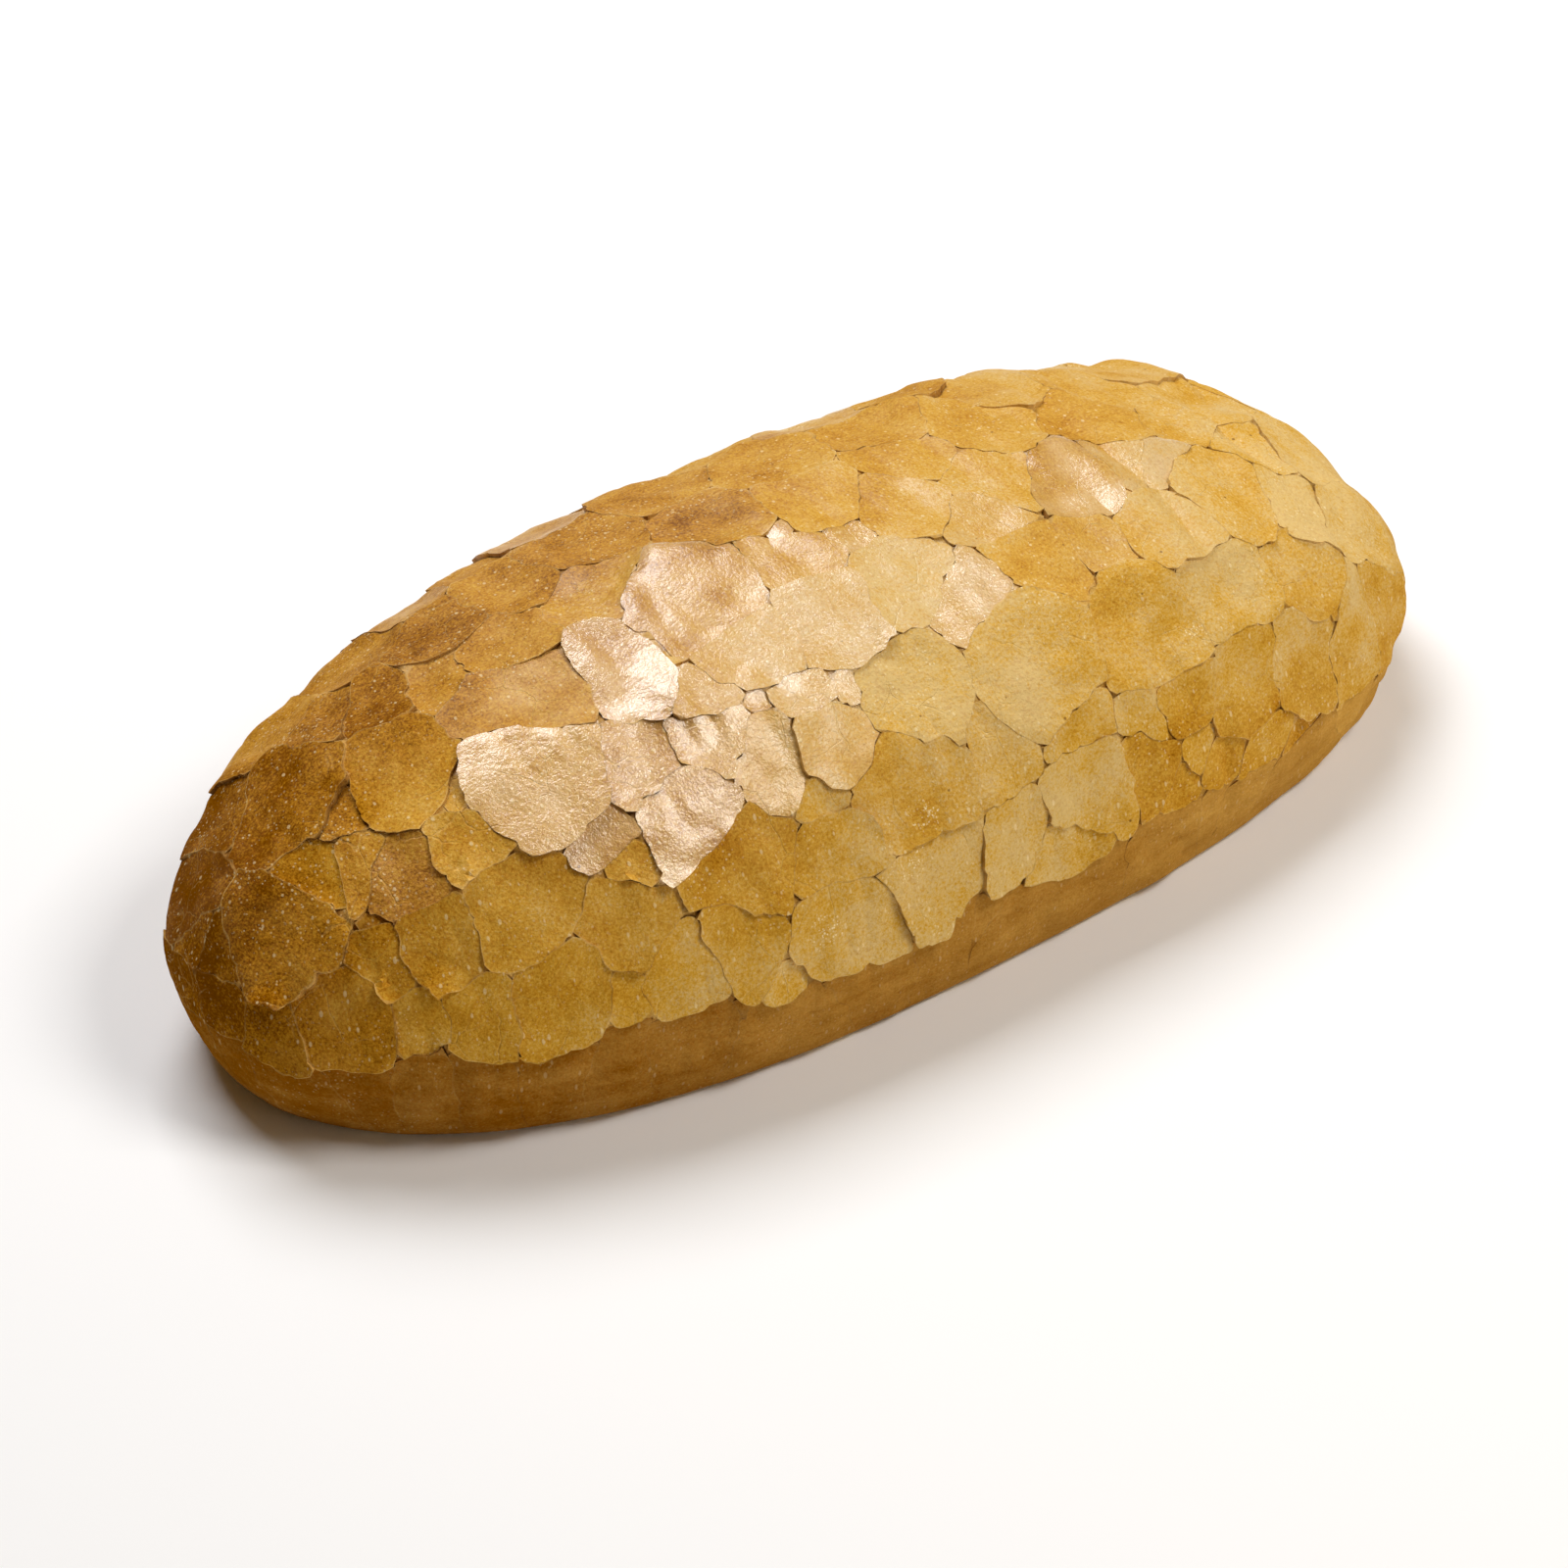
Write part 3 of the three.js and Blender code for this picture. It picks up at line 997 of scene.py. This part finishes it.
def plate_colour(wires, finish):
    """The plates' colour, from how they are baked and from painted light and shade: 0 is the darkest and 1
    the palest.
    """
    along, across, height = wires.along, wires.across, wires.height

    # the -X end is dark, above all its tip, partly from the baking and partly as painted shade; the far
    # side is darker as painted shade, and the near side's middle is paler as painted light
    bake_and_shading = 0.23 + along * 0.75 + along.step(-0.155, -0.105) * 0.42 + wires.tone * 0.11
    bake_and_shading = bake_and_shading - across.step(-0.02, 0.02) * 0.22
    middle = along.step(-0.055, -0.01) * (1 - along.step(0.0, 0.05)) * (1 - across.step(-0.03, 0.0))
    bake_and_shading = bake_and_shading + middle * 0.20

    # towards the +X end the high plates are paler as a painted sheen and the low ones darker as painted
    # shade, towards the -X end the low plates are paler as painted light, and the +X tip is paler again
    bake_and_shading = bake_and_shading + height.step(32.0, 80.0) * (0.03 + along * 1.6)
    bake_and_shading = bake_and_shading + (1 - height.step(22.0, 55.0)) * (0.09 - along.step(0.0, 0.055) * 0.40)
    bake_and_shading = bake_and_shading + along.step(0.07, 0.14) * 0.16
    bake_and_shading = bake_and_shading + wires.broad * 0.6 + wires.patchy * (0.75 + along * 0.5)
    bake_and_shading = bake_and_shading + wires.mottle * 0.35 + wires.fine * 1.1
    # the ramp's colours carry this painted light and shade along with the baking
    baked = bake_and_shading.ramp(finish.dark, (0.33, finish.deep), (0.66, finish.golden), last=finish.pale)
    # the glossy plates are mixed towards a pale pinkish colour as a painted highlight
    return (wires.shine.step(0.4, 0.9) * (0.24 + wires.patchy)).mix(baked, colour(finish.painted_highlight))


def band_colour(wires, finish):
    """The smooth band's colour: darker towards the -X end, partly from the baking and partly as painted
    shade, with level streaks.
    """
    drawn = wires.coords.vector_math("MULTIPLY", (0.3, 0.3, 1.5))
    streaks = fractal(drawn, 0.006, 3, 0.6) - 0.5
    bake_and_shading = 0.45 + wires.along * 2.5 + wires.tone * 0.07 + streaks * 0.7
    bake_and_shading = bake_and_shading + wires.patchy * 0.5 + wires.mottle * 0.25 + wires.fine * 0.7
    return bake_and_shading.clamp().mix(colour(finish.band_deep), colour(finish.band_pale))


def hairlines(wires):
    """1 along a net of hairline cracks, which shows in patches and on the plates only."""
    shift = fractal(wires.coords, 0.007, output=1)
    bent = shift.vector_math("MULTIPLY_ADD", (0.004,) * 3, wires.coords)
    edges = {"feature": "DISTANCE_TO_EDGE"}
    web = bent.node("ShaderNodeTexVoronoi", edges, {"Vector": bent, "Scale": 1 / 0.012})
    shown = fractal(wires.coords, 0.018, 1).step(0.5, 0.62)
    return (1 - web.step(0.004, 0.018)) * shown * (1 - wires.band) * (1 - wires.under)


def flour_specks(wires):
    """1 in the pale specks of flour, large and small, which are fewer on the band."""
    drawn = wires.coords.vector_math("MULTIPLY", (1.25, 1.0, 0.5))
    strewn = fractal(wires.coords, 0.016).step(0.45, 0.7)
    large = specks(drawn, 0.0020, 0.5, 0.17) * 0.9
    small = specks(wires.coords, 0.0009, 0.55, 0.25) * (0.25 + strewn * 0.75)
    return (large + small).clamp() * (1 - wires.band * 0.6)


def crust_layers(wires, finish, hairline, flour):
    """What lies over the baked colour, from the bottom layer up, among them painted shade in the seams and
    open cracks and partly a painted highlight on the lips: each one's share at a spot, and its colour.
    """
    coords, patchy, mottle = wires.coords, wires.patchy, wires.mottle
    grit = (fractal(coords, 0.0009, 2, 0.7) + patchy * 0.25).step(0.52, 0.68)
    # pale lips along every border: partly inner crust, partly a painted highlight on the lit edges
    lip = (1 - wires.inside.step(0.04, 0.32)) * (1 - wires.band * 0.7) * (0.42 + patchy * 1.8 + mottle)
    # a dark seam along every border, even a closed one: painted shade
    seam = (1 - wires.inside.step(0.06, 0.2)) * (0.26 - patchy * 2.2 + mottle)
    heaped = (wires.flour * 1.2 + mottle * 2.5 + patchy).step(0.55, 0.9)
    loose = specks(coords, 0.0006, 0.7, 0.35) * heaped
    hearth = (1 - wires.height.step(0.0, 2.2)) * (0.5 + patchy * 2 + mottle * 2)
    bran = specks(coords, 0.0052, 0.35, 0.055)
    return (
        (wires.under * 0.85, finish.underside),
        (grit * (0.22 - wires.under * 0.15), finish.rust),
        (lip * 0.7, finish.lip),
        (seam * 0.8, finish.crack),
        # painted shade at the bottom of open cracks
        (wires.crack.step(0.1, 0.8) * 0.9, finish.crack),
        (hairline * 0.16, finish.lip),
        (flour * 0.5, finish.flour),
        (loose * 0.9 + hearth * 0.5, finish.flour),
        (bran * 0.7, finish.crack),
    )


def crust_material(finish):
    """Baked crust: golden plates of uneven baking with painted light and shade, pale broken lips that are
    partly a painted highlight, cracks darkened by painted shade, flour and fine grain.
    """
    material = bpy.data.materials.new("crust")
    material.use_nodes = True
    tree = material.node_tree
    tree.nodes.clear()
    wires = crust_wires(tree)
    coords, along, shine, patchy = wires.coords, wires.along, wires.shine, wires.patchy
    hairline, flour = hairlines(wires), flour_specks(wires)

    base = wires.band.mix(plate_colour(wires, finish), band_colour(wires, finish))
    for cover, tint in crust_layers(wires, finish, hairline, flour):
        base = cover.mix(base, colour(tint))

    # gloss is the share of the shader that shines at all, and polish how sharply it does
    polish = shine * 1.15 + wires.mottle * 0.4 + patchy * 0.5
    gloss = along.step(-0.15, -0.05) * 0.12
    gloss = gloss + wires.height.step(25.0, 80.0) * along.step(-0.13, -0.01) * 0.22
    gloss = gloss + shine * 0.97 + patchy * 0.8
    gloss = (gloss * (1 - wires.band * 0.75) * (1 - wires.crack) * (1 - wires.under)).clamp()
    roughness = (0.85 - gloss * 0.27 - polish * 0.33).clamp()

    # the grain's heights, in metres
    grain = fractal(coords, 0.0018, 2, 0.6) * 0.00032 + fractal(coords, 0.0008, 2, 0.6) * 0.00024
    grain = grain + wires.fine * 0.00014 + flour * 0.00005 - hairline * 0.00012
    bump = grain.node("ShaderNodeBump", None, {"Strength": 0.8, "Distance": 1.0, "Height": grain})
    shiny = {
        "Base Color": base,
        "Roughness": roughness,
        "Normal": bump,
        "Specular IOR Level": 0.85,
        "IOR": 1.5,
        "Coat Weight": (polish * shine * 0.8).clamp(),
        "Coat Roughness": 0.32,
    }
    shiny = base.node("ShaderNodeBsdfPrincipled", None, shiny)
    matt = base.node("ShaderNodeBsdfDiffuse", None, {"Color": base, "Normal": bump})
    shader = gloss.node("ShaderNodeMixShader", None, {0: gloss, 1: matt, 2: shiny})
    shader.node("ShaderNodeOutputMaterial", None, {0: shader})
    return material


def floor_material():
    """Matt white floor."""
    material = bpy.data.materials.new("floor")
    material.use_nodes = True
    shader = material.node_tree.nodes["Principled BSDF"]
    finish = {"Base Color": colour((0.9, 0.9, 0.9)), "Roughness": 0.9, "Specular IOR Level": 0.1}
    for name, value in finish.items():
        shader.inputs[name].default_value = value
    return material


# ---- operators


class RYE_OT_loaf(bpy.types.Operator):
    """Build the rye loaf's crackled crust and its finish"""

    bl_idname = "rye.loaf"
    bl_label = "Rye Loaf"

    def execute(self, context):
        scene = context.scene
        dough = Dough(scene.loaf_form)
        plates = Plates(dough, scene.crust_form)
        crust = Crust(dough, plates, scene.crust_form)
        loaf = make_mesh("rye_loaf_crust", *crust.build())
        loaf.data.materials.append(crust_material(scene.crust_finish))
        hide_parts("rye_loaf")
        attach(loaf, "root")
        return {"FINISHED"}


class RYE_OT_stage(bpy.types.Operator):
    """Lay the pale floor and place the soft lights and the camera"""

    bl_idname = "rye.stage"
    bl_label = "Stage"

    HALF_FLOOR = 4.0  # metres
    SKY_TINT = (1.0, 0.68, 0.30)
    SOFTBOXES = (  # each one's name, place, size and tint
        ("key", (0.43, -0.55, 1.10), (0.42, 0.42), (1.0, 0.985, 0.96)),
        ("back", (0.05, 0.60, 1.15), (0.8, 0.6), (0.97, 0.99, 1.03)),
        ("fill", (0.63, -1.09, 0.34), (0.9, 0.5), (1.0, 0.94, 0.84)),
    )

    def execute(self, context):
        scene = context.scene
        form = scene.stage_form
        self._floor()
        self._camera(scene, form)
        self._sky(scene, form)
        for name, *details in self.SOFTBOXES:
            self._softbox(name, getattr(form, f"{name}_power"), *details)
        scene.view_settings.view_transform = "Standard"
        return {"FINISHED"}

    def _floor(self):
        half, z = self.HALF_FLOOR, CAD_BOX[0][2]
        corners = [(-half, -half, z), (half, -half, z), (half, half, z), (-half, half, z)]
        mesh = bpy.data.meshes.new("floor")
        mesh.from_pydata(corners, [], [(0, 1, 2, 3)])
        mesh.materials.append(floor_material())
        add_object("floor", mesh)

    @staticmethod
    def _camera(scene, form):
        azimuth, elevation = form.azimuth, form.elevation
        level = math.cos(elevation)
        back = Vector((math.sin(azimuth) * level, -math.cos(azimuth) * level, math.sin(elevation)))
        data = bpy.data.cameras.new("camera")
        data.lens = form.lens
        data.sensor_width = 36.0
        scene.camera = add_object("camera", data, Vector(form.aim) + back * form.distance, back)

    def _sky(self, scene, form):
        world = bpy.data.worlds.new("sky")
        world.use_nodes = True
        background = world.node_tree.nodes["Background"]
        background.inputs["Color"].default_value = colour(self.SKY_TINT)
        background.inputs["Strength"].default_value = form.sky
        scene.world = world

    @staticmethod
    def _softbox(name, power, place, size, tint):
        data = bpy.data.lights.new(name, "AREA")
        data.shape = "RECTANGLE"
        data.size, data.size_y = size
        data.energy = power
        data.color = tint
        add_object(name, data, place, Vector(place))


class RYE_PT_panel(bpy.types.Panel):
    """The loaf's tools and settings"""

    bl_idname = "RYE_PT_panel"
    bl_label = "Rye Loaf"
    bl_space_type = "VIEW_3D"
    bl_region_type = "UI"
    bl_category = "Loaf"

    def draw(self, context):
        for operator in OPERATORS:
            self.layout.operator(operator.bl_idname)
        for name, group in SETTINGS.items():
            box = self.layout.box()
            box.label(text=group.__name__)
            for key in group.__annotations__:
                box.prop(getattr(context.scene, name), key)


OPERATORS = (RYE_OT_loaf, RYE_OT_stage)
CLASSES = (*SETTINGS.values(), *OPERATORS, RYE_PT_panel)


def register():
    for cls in CLASSES:
        bpy.utils.register_class(cls)
    for name, group in SETTINGS.items():
        setattr(bpy.types.Scene, name, bpy.props.PointerProperty(type=group))


def unregister():
    for name in SETTINGS:
        delattr(bpy.types.Scene, name)
    for cls in reversed(CLASSES):
        bpy.utils.unregister_class(cls)


def main():
    register()
    bpy.ops.rye.loaf()
    bpy.ops.rye.stage()
    bpy.context.view_layer.update()


if __name__ == "__main__":
    main()
